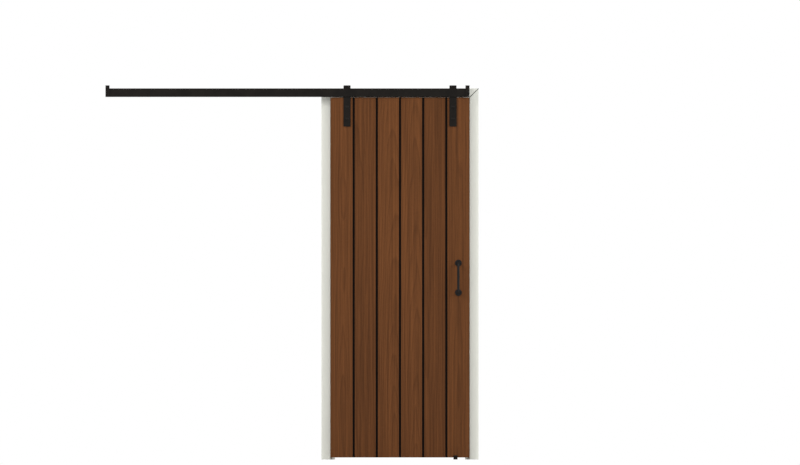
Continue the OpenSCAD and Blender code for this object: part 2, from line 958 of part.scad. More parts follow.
// Round bar pull with an elbow and a post at each end
module pull_handle() {
    post_l = pull_reach - elbow_r;
    color(rail_black)
        difference() {
            union() {
                for (z = pull_zs)
                    facing_front(pull_x, leaf_front, z)
                        cylinder(h = post_l, r = grip_r);
                for (end = [0, 1])
                    translate([pull_x, leaf_front - post_l, pull_zs[end] + (end == 0 ? elbow_r : -elbow_r)])
                        rotate([90, 0, 90])
                            rotate([0, 0, end == 0 ? 180 : 90])
                                rotate_extrude(angle = 90)
                                    translate([elbow_r, 0])
                                        circle(grip_r);
                translate([pull_x, leaf_front - pull_reach, pull_zs[0] + elbow_r])
                    cylinder(h = pull_span - 2 * elbow_r, r = grip_r);
            }
            for (z = pull_zs)
                facing_front(pull_x, leaf_front + cut, z)
                    cylinder(h = pull_screw_bite + cut, r = pull_screw_r + fit);
        }
}

// Round plate at the foot of a post
module rosette(z) {
    color(rail_black)
        facing_front(pull_x, leaf_front, z)
            difference() {
                union() {
                    cylinder(h = rosette_t - rosette_bevel, r = rosette_r);
                    translate([0, 0, rosette_t - rosette_bevel])
                        cylinder(h = rosette_bevel, r1 = rosette_r, r2 = rosette_r - rosette_bevel);
                }
                translate([0, 0, -cut])
                    cylinder(h = rosette_t + 2 * cut, r = grip_r + fit);
            }
}

// Screws from the back of the leaf into the pull's posts
module pull_screws() {
    color(zinc_grey)
        for (z = pull_zs) {
            facing_back(pull_x, plank_back, z)
                socket_head(small_head_r, small_head_h);
            facing_front(pull_x, plank_back, z)
                cylinder(h = plank_t + pull_screw_bite - end_play, r = pull_screw_r);
        }
}

mirror([1, 0, 0]) side_jamb();  // left_jamb
side_jamb();  // right_jamb
head_jamb();
drilled_for_lags() mirror([1, 0, 0]) casing_leg();  // front_left_casing
drilled_for_lags() casing_leg();  // front_right_casing
drilled_for_lags() casing_head();  // front_head_casing
on_back_face() mirror([1, 0, 0]) casing_leg();  // back_left_casing
on_back_face() casing_leg();  // back_right_casing
on_back_face() casing_head();  // back_head_casing
rail();
spacers(wall_lag_x, 0);  // wall_spacers
spacers(casing_lag_x, -casing_t);  // casing_spacers
lag_screws();
end_stop(stop_x[0]);  // left_end_stop
end_stop(stop_x[1]);  // right_end_stop
bumper(stop_x[0] + stop_w, 90);  // left_bumper
bumper(stop_x[1], -90);  // right_bumper
stop_screws();
floor_guide();
guide_pads();
for (i = [1 : plank_n])
    plank(i);
top_ledge();
ledge(middle_ledge_z);  // middle_ledge
ledge(bottom_ledge_z);  // bottom_ledge
ledge_screws();
strap(-strap_x);  // left_strap
strap(strap_x);  // right_strap
strap_bolts();
strap_washers();
strap_nuts();
axle(-strap_x);  // left_axle
axle(strap_x);  // right_axle
axle_bushes();
axle_nuts();
wheel(-strap_x);  // left_wheel
wheel(strap_x);  // right_wheel
bearing(-strap_x);  // left_bearing
bearing(strap_x);  // right_bearing
pull_handle();
rosette(pull_zs[1]);  // upper_rosette
rosette(pull_zs[0]);  // lower_rosette
pull_screws();
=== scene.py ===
"""Finishes, eased edges and small fittings of a sliding plank door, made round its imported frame.

Sizes are in metres in the frame's own axes: X to the right, Y into the wall and Z up.
"""

import json
import math
from typing import NamedTuple

import bmesh
import bpy
from bpy.props import FloatProperty, FloatVectorProperty, PointerProperty
from mathutils import Matrix, Vector


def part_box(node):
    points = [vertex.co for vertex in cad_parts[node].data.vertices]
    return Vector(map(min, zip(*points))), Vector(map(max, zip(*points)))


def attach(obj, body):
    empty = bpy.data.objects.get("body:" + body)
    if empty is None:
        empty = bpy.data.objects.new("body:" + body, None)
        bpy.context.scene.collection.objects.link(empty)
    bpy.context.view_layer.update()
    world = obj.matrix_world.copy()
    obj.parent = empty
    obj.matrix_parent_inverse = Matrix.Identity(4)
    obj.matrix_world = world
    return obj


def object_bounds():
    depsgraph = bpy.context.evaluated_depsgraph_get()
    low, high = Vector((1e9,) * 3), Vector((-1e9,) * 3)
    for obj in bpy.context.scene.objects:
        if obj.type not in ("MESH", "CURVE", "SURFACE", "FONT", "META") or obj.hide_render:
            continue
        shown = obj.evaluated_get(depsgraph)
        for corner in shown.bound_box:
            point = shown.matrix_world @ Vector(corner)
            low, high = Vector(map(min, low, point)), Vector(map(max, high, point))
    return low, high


bl_info = {
    "name": "Sliding plank door",
    "version": (1, 0, 0),
    "blender": (4, 5, 0),
    "location": "View3D > Sidebar > Plank door",
    "description": "Finishes, eased edges and small fittings of a sliding plank door",
    "category": "Object",
}

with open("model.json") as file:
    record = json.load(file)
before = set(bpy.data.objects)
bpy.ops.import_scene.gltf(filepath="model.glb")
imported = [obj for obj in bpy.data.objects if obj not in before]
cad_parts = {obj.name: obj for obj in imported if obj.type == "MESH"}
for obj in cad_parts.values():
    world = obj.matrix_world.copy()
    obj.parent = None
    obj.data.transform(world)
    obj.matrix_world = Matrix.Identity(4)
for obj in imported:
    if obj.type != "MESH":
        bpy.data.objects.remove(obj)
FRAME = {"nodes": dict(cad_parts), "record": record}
CAD_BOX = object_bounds()
NODES = FRAME["nodes"]
MOUNTS = {mount["name"]: mount for mount in FRAME["record"]["mounts"]}

# Nodes by the way they are finished
PLANKS = sorted(name for name in NODES if name.startswith("plank_"))
LEDGES = ["top_ledge", "middle_ledge", "bottom_ledge"]
UPRIGHT_BOARDS = [
    "left_jamb", "right_jamb",
    "front_left_casing", "front_right_casing", "back_left_casing", "back_right_casing",
]
LEVEL_BOARDS = ["head_jamb", "front_head_casing", "back_head_casing"]
TRACK = ["rail", "wall_spacers", "casing_spacers", "left_end_stop", "right_end_stop"]
HANGERS = ["left_strap", "right_strap", "strap_bolts"]
PULL = ["pull_handle", "upper_rosette", "lower_rosette"]
BRIGHT_FASTENERS = [
    "lag_screws", "ledge_screws", "strap_washers", "strap_nuts", "axle_bushes", "axle_nuts",
    "left_axle", "right_axle", "left_bearing", "right_bearing",
]
DARK_FASTENERS = ["stop_screws", "pull_screws"]
EASED = ["rail", "left_end_stop", "right_end_stop", "left_strap", "right_strap", "floor_guide"]

# Places that several pieces are worked out from
LEAF_LOW = Vector(map(min, *(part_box(name)[0] for name in PLANKS)))
LEAF_HIGH = Vector(map(max, *(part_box(name)[1] for name in PLANKS)))
PLANK_PITCH = (LEAF_HIGH.x - LEAF_LOW.x) / len(PLANKS)
LEDGE_PITCH = (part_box("top_ledge")[0].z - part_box("bottom_ledge")[0].z) / (len(LEDGES) - 1)
CASING_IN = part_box("front_right_casing")[0].x
CASING_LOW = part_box("front_head_casing")[0].z
CASING_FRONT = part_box("front_head_casing")[0].y
CASING_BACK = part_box("back_head_casing")[1].y

# Mounts of the lag screws, from the rail's ends to its middle
LAG_MOUNTS = ["rail_screws_outer", "rail_screws_second", "rail_screws_inner", "rail_screw_middle"]

# A lag screw's tip as a share of its core, and as shares of its thread's height, what is left of the thread
# at either end and how far its foot is sunk in the core
TIP_SHARE = 0.23
THREAD_START = 0.05
THREAD_SINK = 0.25

# Segments round a turned piece
ROUND = 24

# Cross recess as shares of the screw head's radius: arm, half width and depth, and how far it narrows
CROSS_ARM = 0.55
CROSS_HALF = 0.14
CROSS_DEPTH = 0.4
CROSS_TAPER = 0.6

# Eased edges: the distance under which corners are one, the angle under which neighbours are one face,
# the angle from which an edge is eased, and its segments
SAME_CORNER = 1e-6
FLAT_ANGLE = math.radians(0.5)
SHARP_ANGLE = math.radians(35)
EDGE_SEGMENTS = 2

# Heart of a board: how far aside it may lie, its least distance in front of the leaf and how much is added,
# its slant, and the place along the board that the slant turns about
HEART_ASIDE = 0.05
HEART_FRONT = 0.02
HEART_SPREAD = 0.05
HEART_SLANT = 0.045
SLANT_FROM = 0.9

# Growth rings: how far they wander, how dark each place across a ring is, and the mean of that
RING_WANDER = 0.045
RING_STEPS = [(0.0, 0.0), (0.5, 0.25), (0.86, 1.0), (1.0, 0.0)]
RING_MEAN = 1 / 3

# Marks to the metre, across and along the boards
WANDER_MARKS = (9, 1.6)
STREAK_MARKS = (110, 1.4)
FIBRE_MARKS = (700, 9)
PORE_MARKS = (1500, 40)
BRUSH_MARKS = (650, 7)

# Marks to the metre, alike in all directions
CLOUD_MARKS = 3
PATCH_MARKS = 14
COAT_MARKS = 900
IRON_MARKS = 600
SPANGLE_MARKS = 350
MOULD_MARKS = 1400
FLOOR_MARKS = 0.7

# How far the noise of one board is from that of the next
BOARD_SHIFT = 7.31

# Noise levels between which streaks and patches turn pale and pores open
STREAK_LEVELS = (0.3, 0.7)
PATCH_LEVELS = (0.3, 0.7)
PORE_LEVELS = (0.62, 0.72)

# How squarely a face looks along the grain, from side grain to end grain
END_LEVELS = (0.6, 0.9)

# Darkest and palest tone of each finish, as shares of its colour
STAIN_TONES = (0.72, 1.12)
COAT_TONES = (0.8, 1.25)
ZINC_TONES = (0.75, 1.15)
MOULD_TONES = (0.8, 1.2)
FLOOR_TONES = (0.99, 1.01)

# How much each kind of mark changes the tone of a board or of the paint; the channel, seam and groove tones
# are painted shade
FIBRE_TONE = 0.5
BOARD_TONE = 0.2
PORE_TONE = 0.35
END_TONE = 0.35
CHANNEL_SHADE_TONE = 0.97
SEAM_SHADE_TONE = 0.8
CLOUD_TONE = 0.06
BRUSH_TONE = 0.05
GROOVE_SHADE_TONES = (0.9, 0.55)

# How deep late wood and pores lie, against the fibres
RING_RELIEF = 0.25
PORE_RELIEF = 0.5

# How far the painted shade of a channel laps over its sides and its floor
CHANNEL_SHADE_SIDE_LAP = 0.0004
CHANNEL_SHADE_FLOOR_LAP = 0.001

# Floor: its size, how far it lies under the feet, its roughness and gloss, and where it fades to white
FLOOR_SIZE = 30.0
FLOOR_DROP = 0.0005
FLOOR_ROUGHNESS = 0.9
FLOOR_GLOSS = 0.1
FLOOR_FADE = (2.2, 4.5)

# Lamps: their size, and where each stands with the setting of its power
LAMP_SIZE = 3.0
LAMPS = {
    "key_lamp": ((-4.6, -4.8, 5.0), "key_light"),
    "fill_lamp": ((5.2, -4.4, 4.2), "fill_light"),
    "back_lamp": ((2.4, 5.6, 4.4), "back_light"),
}

# Distance of the camera from the wall's face
CAMERA_AWAY = 8.0


class Surface(NamedTuple):
    """Depth of a finish's marks and their strength, its least and most roughness, its gloss and metal."""

    depth: float
    strength: float
    smooth: float
    rough: float
    gloss: float
    metal: float = 0.0


PLANED_WOOD = Surface(depth=0.0004, strength=0.6, smooth=0.42, rough=0.62, gloss=0.08)
SATIN_PAINT = Surface(depth=0.00012, strength=0.7, smooth=0.36, rough=0.52, gloss=0.35)
BLACK_COAT = Surface(depth=0.00025, strength=0.55, smooth=0.34, rough=0.5, gloss=0.1)
DARK_IRON = BLACK_COAT._replace(gloss=0.12)
ZINC_PLATE = Surface(depth=0.0001, strength=0.4, smooth=0.25, rough=0.5, gloss=0.5, metal=1.0)
NYLON = Surface(depth=0.00012, strength=0.5, smooth=0.4, rough=0.55, gloss=0.3)
RUBBER = NYLON._replace(smooth=0.6, rough=0.75)


def linear(red, green, blue):
    """A colour given in the usual 0 to 255, as the shaders take it."""

    def channel(value):
        value /= 255
        return value / 12.92 if value <= 0.04045 else ((value + 0.055) / 1.055) ** 2.4

    return channel(red), channel(green), channel(blue)


class WoodLook(bpy.types.PropertyGroup):
    """Colours and grain of the planks and ledges"""

    plank_colour: FloatVectorProperty(
        name="Planks", description="Stain of the planks", subtype="COLOR",
        min=0, max=1, default=linear(92, 55, 28),
    )
    ledge_colour: FloatVectorProperty(
        name="Ledges", description="Stain of the ledges on the back", subtype="COLOR",
        min=0, max=1, default=linear(86, 52, 28),
    )
    ring_spacing: FloatProperty(
        name="Ring spacing", description="Distance between growth rings", unit="LENGTH",
        min=0.002, max=0.05, default=0.011,
    )
    ring_contrast: FloatProperty(
        name="Ring contrast", description="How dark the late wood is", subtype="FACTOR",
        min=0, max=1, default=0.2,
    )
    # The channel's width and depth also bound the painted shade that darkens it.
    channel_width: FloatProperty(
        name="Channel width", description="Width of the shadow channel between planks", unit="LENGTH",
        min=0.002, max=0.03, default=0.012,
    )
    channel_depth: FloatProperty(
        name="Channel depth", description="Depth of the shadow channel between planks", unit="LENGTH",
        min=0.002, max=0.02, default=0.009,
    )
    # The seam is painted shade along each plank's edges at its joints.
    seam: FloatProperty(
        name="Seam", description="Width of the dark edge of each plank along its joints", unit="LENGTH",
        min=0.0002, max=0.004, default=0.0015,
    )


class PaintLook(bpy.types.PropertyGroup):
    """Colour and brush marks of the painted frame"""

    colour: FloatVectorProperty(
        name="Paint", description="Paint of the jambs and casing", subtype="COLOR",
        min=0, max=1, default=linear(221, 222, 213),
    )
    brush_marks: FloatProperty(
        name="Brush marks", description="Height of the brush marks", unit="LENGTH",
        min=0, max=0.001, default=SATIN_PAINT.depth,
    )
    # Half width of the painted shade, with some dirt, in the mitre grooves.
    mitre_shade_half_width: FloatProperty(
        name="Mitre groove", description="Half width of the dark groove along the mitres", unit="LENGTH",
        min=0.0005, max=0.004, default=0.0025,
    )


class SteelLook(bpy.types.PropertyGroup):
    """Colours of the metal, nylon and rubber pieces"""

    coat_colour: FloatVectorProperty(
        name="Black coat", description="Powder coat of the rail, stops and straps", subtype="COLOR",
        min=0, max=1, default=linear(19, 16, 13),
    )
    pull_colour: FloatVectorProperty(
        name="Pull", description="Dark iron of the pull", subtype="COLOR",
        min=0, max=1, default=linear(24, 24, 24),
    )
    zinc_colour: FloatVectorProperty(
        name="Zinc", description="Plating of the bright fasteners", subtype="COLOR",
        min=0, max=1, default=linear(176, 178, 182),
    )
    nylon_colour: FloatVectorProperty(
        name="Nylon", description="Wheels and slide pads", subtype="COLOR",
        min=0, max=1, default=linear(66, 66, 68),
    )
    rubber_colour: FloatVectorProperty(
        name="Rubber", description="Bumpers of the end stops", subtype="COLOR",
        min=0, max=1, default=linear(24, 24, 24),
    )
    arris: FloatProperty(
        name="Arris", description="Width of the eased edges", unit="LENGTH",
        min=0.0001, max=0.002, default=0.0006,
    )
    thread_core: FloatProperty(
        name="Thread core", description="Radius of the lag screws under their thread", unit="LENGTH",
        min=0.0025, max=0.0045, default=MOUNTS["rail_screw_middle"]["dims"]["r_mm"] / 1000,
    )
    tip_length: FloatProperty(
        name="Tip", description="Length of the lag screws' points", unit="LENGTH",
        min=0.005, max=0.012, default=0.008,
    )
    thread_pitch: FloatProperty(
        name="Thread pitch", description="Pitch of the lag screws' thread", unit="LENGTH",
        min=0.001, max=0.006, default=0.0032,
    )
    thread_height: FloatProperty(
        name="Thread height", description="Height of the thread above its core", unit="LENGTH",
        min=0.0002, max=0.002, default=0.0009,
    )
    guide_foot_height: FloatProperty(
        name="Guide foot height", description="Height of the floor guide's feet", unit="LENGTH",
        min=0.008, max=0.016, default=0.012,
    )
    floor_screw: FloatProperty(
        name="Floor screw", description="Radius of the floor screws", unit="LENGTH",
        min=0.0015, max=0.004, default=0.0025,
    )
    floor_screw_head: FloatProperty(
        name="Floor screw head", description="Radius of the floor screws' heads", unit="LENGTH",
        min=0.003, max=0.006, default=0.0052,
    )


class StageLook(bpy.types.PropertyGroup):
    """Floor, light and view"""

    floor_colour: FloatVectorProperty(
        name="Floor", description="Colour of the floor", subtype="COLOR",
        min=0, max=1, default=(0.85, 0.85, 0.85),
    )
    view_width: FloatProperty(
        name="View width", description="Width of what the camera sees", unit="LENGTH",
        min=1, max=20, default=4.7424,
    )
    view_height: FloatProperty(
        name="View height", description="Height of the camera above the floor", unit="LENGTH",
        min=0, max=5, default=1.3457,
    )
    room_light: FloatProperty(
        name="Room light", description="Even light from all round", min=0, max=2, default=0.7,
    )
    key_light: FloatProperty(
        name="Key light", description="Soft lamp at the upper left", unit="POWER",
        min=0, max=2000, default=240,
    )
    fill_light: FloatProperty(
        name="Fill light", description="Soft lamp at the upper right", unit="POWER",
        min=0, max=2000, default=210,
    )
    back_light: FloatProperty(
        name="Back light", description="Soft lamp behind", unit="POWER",
        min=0, max=2000, default=130,
    )


class Finish:
    """A procedural surface, with short ways to add its nodes and join them."""

    def __init__(self, name):
        self.material = bpy.data.materials.new(name)
        self.material.use_nodes = True
        self.tree = self.material.node_tree
        self.shader = self.tree.nodes["Principled BSDF"]
        self.place = self.node("TexCoord").outputs["Object"]
        axes = self.node("SeparateXYZ", Vector=self.place).outputs
        self.axis = {"X": axes["X"], "Y": axes["Y"], "Z": axes["Z"]}

    def put(self, socket, value):
        """Joins a socket to an input, or sets the input to a plain value."""
        if isinstance(value, bpy.types.NodeSocket):
            self.tree.links.new(value, socket)
        else:
            socket.default_value = value

    def node(self, kind, settings=(), **inputs):
        """Adds a node with its settings and inputs."""
        made = self.tree.nodes.new("ShaderNode" + kind)
        for key, value in dict(settings).items():
            setattr(made, key, value)
        for key, value in inputs.items():
            self.put(made.inputs[key.replace("_", " ")], value)
        return made

    def math(self, operation, *values):
        """Works out a value from one or more others."""
        made = self.node("Math", {"operation": operation})
        for socket, value in zip(made.inputs, values):
            self.put(socket, value)
        return made.outputs["Value"]

    def between(self, value, low, high, to_low=0.0, to_high=1.0):
        """Maps low..high smoothly onto to_low..to_high."""
        made = self.node("MapRange", {"interpolation_type": "SMOOTHSTEP"}, Value=value)
        for key, number in (("From Min", low), ("From Max", high), ("To Min", to_low), ("To Max", to_high)):
            made.inputs[key].default_value = number
        return made.outputs["Result"]

    def spread(self, value, low, high):
        """Maps 0..1 evenly onto low..high."""
        return self.math("MULTIPLY_ADD", value, high - low, low)

    def around_one(self, value, amount, mean=0.5):
        """1 where a value has its mean, and more or less beside it by an amount of the difference."""
        return self.math("MULTIPLY_ADD", value, amount, 1 - amount * mean)

    def noise(self, scale, detail=3.0, roughness=0.55, board=None):
        """Noise stretched by a scale per axis, shifted as a whole from board to board."""
        spread = self.node("Mapping", Vector=self.place, Scale=scale).outputs["Vector"]
        kind = {"noise_dimensions": "4D" if board else "3D"}
        made = self.node("TexNoise", kind, Vector=spread, Scale=1.0, Detail=detail, Roughness=roughness)
        if board:
            self.put(made.inputs["W"], self.math("MULTIPLY", board, BOARD_SHIFT))
        return made.outputs["Fac"]

    def ramp(self, value, stops):
        """Turns a value into a grey that eases from stop to stop."""
        made = self.node("ValToRGB", Fac=value)
        made.color_ramp.interpolation = "EASE"
        marks = made.color_ramp.elements
        while len(marks) < len(stops):
            marks.new(0.5)
        for mark, (at, level) in zip(marks, stops):
            mark.position = at
            mark.color = (level, level, level, 1)
        return made.outputs["Color"]

    def mix(self, factor, first, second, blend="MIX"):
        """Blends two colours."""
        made = self.node("Mix", {"data_type": "RGBA", "blend_type": blend})
        self.put(made.inputs["Factor"], factor)
        for key, value in (("A", first), ("B", second)):
            socket = next(s for s in made.inputs if s.name == key and s.type == "RGBA")
            self.put(socket, value if isinstance(value, bpy.types.NodeSocket) else (*value, 1))
        return next(s for s in made.outputs if s.type == "RGBA")

    def shade(self, colour, amount):
        """Multiplies a colour by a grey amount."""
        grey = self.node("CombineXYZ", X=amount, Y=amount, Z=amount).outputs["Vector"]
        return self.mix(1.0, colour, grey, "MULTIPLY")

    def vary(self, colour, value, amount, mean=0.5):
        """Changes a colour's tone where a value differs from its mean."""
        return self.shade(colour, self.around_one(value, amount, mean))

    def feed(self, **values):
        """Joins or sets inputs of the shader."""
        for key, value in values.items():
            self.put(self.shader.inputs[key.replace("_", " ")], value)

    def surface(self, colour, relief, uneven, kind):
        """Gives the shader a colour, a relief and an uneven roughness."""
        bump = self.node("Bump", Height=relief, Distance=kind.depth, Strength=kind.strength)
        self.feed(Base_Color=colour, Normal=bump.outputs["Normal"])
        self.feed(Roughness=self.spread(uneven, kind.smooth, kind.rough))
        self.feed(Specular_IOR_Level=kind.gloss, Metallic=kind.metal)
        return self.material


def scaled(colour, amount):
    return tuple(channel * amount for channel in colour)


def along_scale(axis, across, along):
    """Noise scale per axis for marks drawn out along one axis."""
    return tuple(along if name == axis else across for name in "XYZ")


class Boards(Finish):
    """Plain-sawn boards side by side, each with a heart, a tone and marks of its own."""

    def __init__(self, name, along, across, first_edge, pitch):
        super().__init__(name)
        self.along = along
        from_edge = self.math("SUBTRACT", self.axis[across], first_edge)
        self.board = self.math("FLOOR", self.math("DIVIDE", from_edge, pitch))
        middle = self.math("MULTIPLY_ADD", self.math("ADD", self.board, 0.5), pitch, first_edge)
        self.from_middle = self.math("SUBTRACT", self.axis[across], middle)
        self.draw = self.node("TexWhiteNoise", {"noise_dimensions": "1D"}, W=self.board).outputs

    def marks(self, to_the_metre, **kind):
        """Noise drawn out along the grain."""
        return self.noise(along_scale(self.along, *to_the_metre), board=self.board, **kind)

    def rings(self, spacing):
        """Growth rings about a slanting heart, darkest at 1."""
        draws = self.node("SeparateColor", Color=self.draw["Color"]).outputs
        heart = self.spread(draws["Red"], -HEART_ASIDE, HEART_ASIDE)
        slant = self.spread(draws["Blue"], -HEART_SLANT, HEART_SLANT)
        lean = self.math("MULTIPLY", self.math("SUBTRACT", self.axis[self.along], SLANT_FROM), slant)
        depth = self.math("ADD", self.math("SUBTRACT", self.axis["Y"], LEAF_LOW.y - HEART_FRONT), lean)
        depth = self.math("MULTIPLY_ADD", draws["Green"], HEART_SPREAD, depth)
        from_heart = self.node("CombineXYZ", X=self.math("SUBTRACT", self.from_middle, heart), Y=depth)
        radius = self.node("VectorMath", {"operation": "LENGTH"}, Vector=from_heart.outputs["Vector"])
        wander = self.marks(WANDER_MARKS, detail=2)
        radius = self.math("MULTIPLY_ADD", wander, RING_WANDER, radius.outputs["Value"])
        return self.ramp(self.math("FRACT", self.math("DIVIDE", radius, spacing)), RING_STEPS)

    def stain(self, look, colour):
        """Colour of the stained grain. The fibres and the relief are kept for the surface."""
        rings = self.rings(look.ring_spacing)
        streaks = self.between(self.marks(STREAK_MARKS, detail=4), *STREAK_LEVELS)
        pores = self.between(self.marks(PORE_MARKS, detail=1), *PORE_LEVELS)
        self.fibres = self.marks(FIBRE_MARKS, detail=3, roughness=0.7)
        self.relief = self.math("MULTIPLY_ADD", pores, -PORE_RELIEF, self.fibres)
        self.relief = self.math("MULTIPLY_ADD", rings, -RING_RELIEF, self.relief)
        facing = self.node("SeparateXYZ", Vector=self.node("NewGeometry").outputs["Normal"])
        ends = self.between(self.math("ABSOLUTE", facing.outputs[self.along]), *END_LEVELS)

        stain = self.mix(streaks, *(scaled(colour, tone) for tone in STAIN_TONES))
        stain = self.vary(stain, rings, -look.ring_contrast, RING_MEAN)
        stain = self.vary(stain, self.fibres, FIBRE_TONE)
        stain = self.vary(stain, pores, -PORE_TONE, 0)
        stain = self.vary(stain, self.draw["Value"], BOARD_TONE)
        return self.vary(stain, ends, -END_TONE, 0)


def plank_wood(look):
    """Stained planks, with painted shade that leaves the channels between them nearly black and darkens
    each plank's edges along its joints.
    """
    boards = Boards("plank_wood", "Z", "X", LEAF_LOW.x, PLANK_PITCH)
    stain = boards.stain(look, look.plank_colour)
    edge = PLANK_PITCH / 2
    # Painted shade: the channel between planks is darkened nearly black, where its recess would be in
    # shade.
    side = edge - look.channel_width / 2 - CHANNEL_SHADE_SIDE_LAP
    floor = LEAF_LOW.y + look.channel_depth + CHANNEL_SHADE_FLOOR_LAP
    aside = boards.math("ABSOLUTE", boards.from_middle)
    in_front = boards.math("LESS_THAN", boards.axis["Y"], floor)
    channel = boards.math("MULTIPLY", boards.math("GREATER_THAN", aside, side), in_front)
    # Painted shade: each plank darkens towards its edges along the joints, where the shade of a joint would
    # fall.
    seam = boards.between(aside, edge - look.seam, edge, 0.0, SEAM_SHADE_TONE)
    within = boards.math("LESS_THAN", boards.math("ABSOLUTE", boards.axis["X"]), LEAF_HIGH.x - edge)
    joint_shade = boards.math("MULTIPLY", boards.math("MAXIMUM", channel, seam), within)
    stain = boards.vary(stain, joint_shade, -CHANNEL_SHADE_TONE, 0)
    return boards.surface(stain, boards.relief, boards.fibres, PLANED_WOOD)


def ledge_wood(look):
    """Ledges of the same wood, with the grain lying across the leaf."""
    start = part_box("bottom_ledge")[0].z - LEDGE_PITCH / 4
    boards = Boards("ledge_wood", "X", "Z", start, LEDGE_PITCH)
    stain = boards.stain(look, look.ledge_colour)
    return boards.surface(stain, boards.relief, boards.fibres, PLANED_WOOD)


def mitre_painted_shade(finish, groove):
    """How much painted shade, with some dirt, darkens the paint in the grooves along the casing's mitres,
    on the front and the back.
    """
    corner = finish.math("SUBTRACT", finish.math("ABSOLUTE", finish.axis["X"]), CASING_IN - CASING_LOW)
    aside = finish.math("ABSOLUTE", finish.math("SUBTRACT", corner, finish.axis["Z"]))
    width = groove * math.sqrt(2)
    dark = finish.between(aside, 0.0, width, *GROOVE_SHADE_TONES)
    from_middle = finish.math("SUBTRACT", finish.axis["Y"], (CASING_BACK + CASING_FRONT) / 2)
    face = (CASING_BACK - CASING_FRONT) / 2
    for inside in (
        finish.math("LESS_THAN", aside, width),
        finish.math("GREATER_THAN", finish.axis["Z"], CASING_LOW - groove),
        finish.math("GREATER_THAN", finish.math("ABSOLUTE", from_middle), face - groove),
    ):
        dark = finish.math("MULTIPLY", dark, inside)
    return dark


def brushed_paint(name, look, along):
    """Satin paint with faint brush marks along the board, and painted shade with some dirt in the mitre
    grooves.
    """
    finish = Finish(name)
    marks = finish.noise(along_scale(along, *BRUSH_MARKS), detail=4, roughness=0.65)
    tone = finish.around_one(finish.noise((CLOUD_MARKS,) * 3), CLOUD_TONE)
    tone = finish.math("ADD", tone, finish.spread(marks, -BRUSH_TONE / 2, BRUSH_TONE / 2))
    # Painted shade, with some dirt, darkens the paint in the mitre grooves.
    lit = finish.math("SUBTRACT", 1.0, mitre_painted_shade(finish, look.mitre_shade_half_width))
    paint = finish.shade(tuple(look.colour), finish.math("MULTIPLY", tone, lit))
    return finish.surface(paint, marks, marks, SATIN_PAINT._replace(depth=look.brush_marks))


def powder_coat(name, colour, peel_marks, kind):
    """Dark powder coat: a fine orange peel and slightly uneven gloss."""
    finish = Finish(name)
    peel = finish.noise((peel_marks,) * 3, detail=2, roughness=0.5)
    patches = finish.noise((PATCH_MARKS,) * 3, detail=4, roughness=0.6)
    tones = (scaled(colour, tone) for tone in COAT_TONES)
    coat = finish.mix(finish.between(patches, *PATCH_LEVELS), *tones)
    return finish.surface(coat, peel, patches, kind)


def zinc_plate(look):
    """Dull zinc plating with a faint spangle."""
    finish = Finish("zinc_plate")
    spangle = finish.noise((SPANGLE_MARKS,) * 3)
    plate = finish.mix(spangle, *(scaled(look.zinc_colour, tone) for tone in ZINC_TONES))
    return finish.surface(plate, spangle, spangle, ZINC_PLATE)


def moulded(name, colour, kind):
    """Moulded nylon or rubber with a fine matt grain."""
    finish = Finish(name)
    grain = finish.noise((MOULD_MARKS,) * 3, detail=2)
    tone = finish.mix(grain, *(scaled(colour, tone) for tone in MOULD_TONES))
    return finish.surface(tone, grain, grain, kind)


def seen_directly(tree):
    """1 on rays from the camera, off gloss and through glass, and 0 on those that light a surface."""
    path = tree.nodes.new("ShaderNodeLightPath")
    seen = path.outputs["Is Camera Ray"]
    for ray in ("Is Glossy Ray", "Is Transmission Ray"):
        both = tree.nodes.new("ShaderNodeMath")
        both.operation = "MAXIMUM"
        tree.links.new(seen, both.inputs[0])
        tree.links.new(path.outputs[ray], both.inputs[1])
        seen = both.outputs["Value"]
    return seen


def pale_floor(colour):
    """Matt floor that keeps the shadow near the door and fades to white further off."""
    finish = Finish("floor")
    clouds = finish.noise((FLOOR_MARKS,) * 3, detail=2)
    tone = finish.mix(clouds, *(scaled(colour, tone) for tone in FLOOR_TONES))
    finish.feed(Base_Color=tone, Roughness=FLOOR_ROUGHNESS, Specular_IOR_Level=FLOOR_GLOSS)
    away = finish.node("VectorMath", {"operation": "DISTANCE"})
    finish.put(away.inputs[0], finish.place)
    finish.put(away.inputs[1], (CAD_BOX[0] + CAD_BOX[1]) / 2)
    far = finish.between(away.outputs["Value"], *FLOOR_FADE)
    white = finish.node("Emission", Color=(1, 1, 1, 1), Strength=1.0)
    fade = finish.node("MixShader", Fac=finish.math("MULTIPLY", far, seen_directly(finish.tree)))
    finish.put(fade.inputs[1], finish.shader.outputs["BSDF"])
    finish.put(fade.inputs[2], white.outputs["Emission"])
    finish.put(finish.tree.nodes["Material Output"].inputs["Surface"], fade.outputs["Shader"])
    return finish.material


def dress(names, material):
    """Gives CAD nodes a finish."""
    for name in names:
        NODES[name].data.materials[0] = material


def ease(names, width):
    """Takes the sharpness off the edges of CAD nodes."""
    for name in names:
        joined = NODES[name].modifiers.new("joined", "WELD")
        joined.merge_threshold = SAME_CORNER
        flat = NODES[name].modifiers.new("flat", "DECIMATE")
        flat.decimate_type = "DISSOLVE"
        flat.angle_limit = FLAT_ANGLE
        eased = NODES[name].modifiers.new("eased", "BEVEL")
        eased.width = width
        eased.segments = EDGE_SEGMENTS
        eased.limit_method = "ANGLE"
        eased.angle_limit = SHARP_ANGLE


def only_verts(items):
    return [item for item in items if isinstance(item, bmesh.types.BMVert)]


def screw_places(name):
    """Where a mount's screws stand: one at its place, or two set apart along an axis."""
    mount = MOUNTS[name]
    place = Vector(mount["pos_m"])
    apart = Vector([mount["dims"].get(f"spacing_{axis}_mm", 0) / 1000 for axis in "xyz"])
    return [place - apart / 2, place + apart / 2] if apart.length else [place]


def repeat(mesh, places):
    """Moves what a mesh holds from the origin to the first place, and copies it to the others."""
    first = [*mesh.verts, *mesh.edges, *mesh.faces]
    for place in places[1:]:
        copy = bmesh.ops.duplicate(mesh, geom=first)["geom"]
        bmesh.ops.translate(mesh, vec=place, verts=only_verts(copy))
    bmesh.ops.translate(mesh, vec=places[0], verts=only_verts(first))


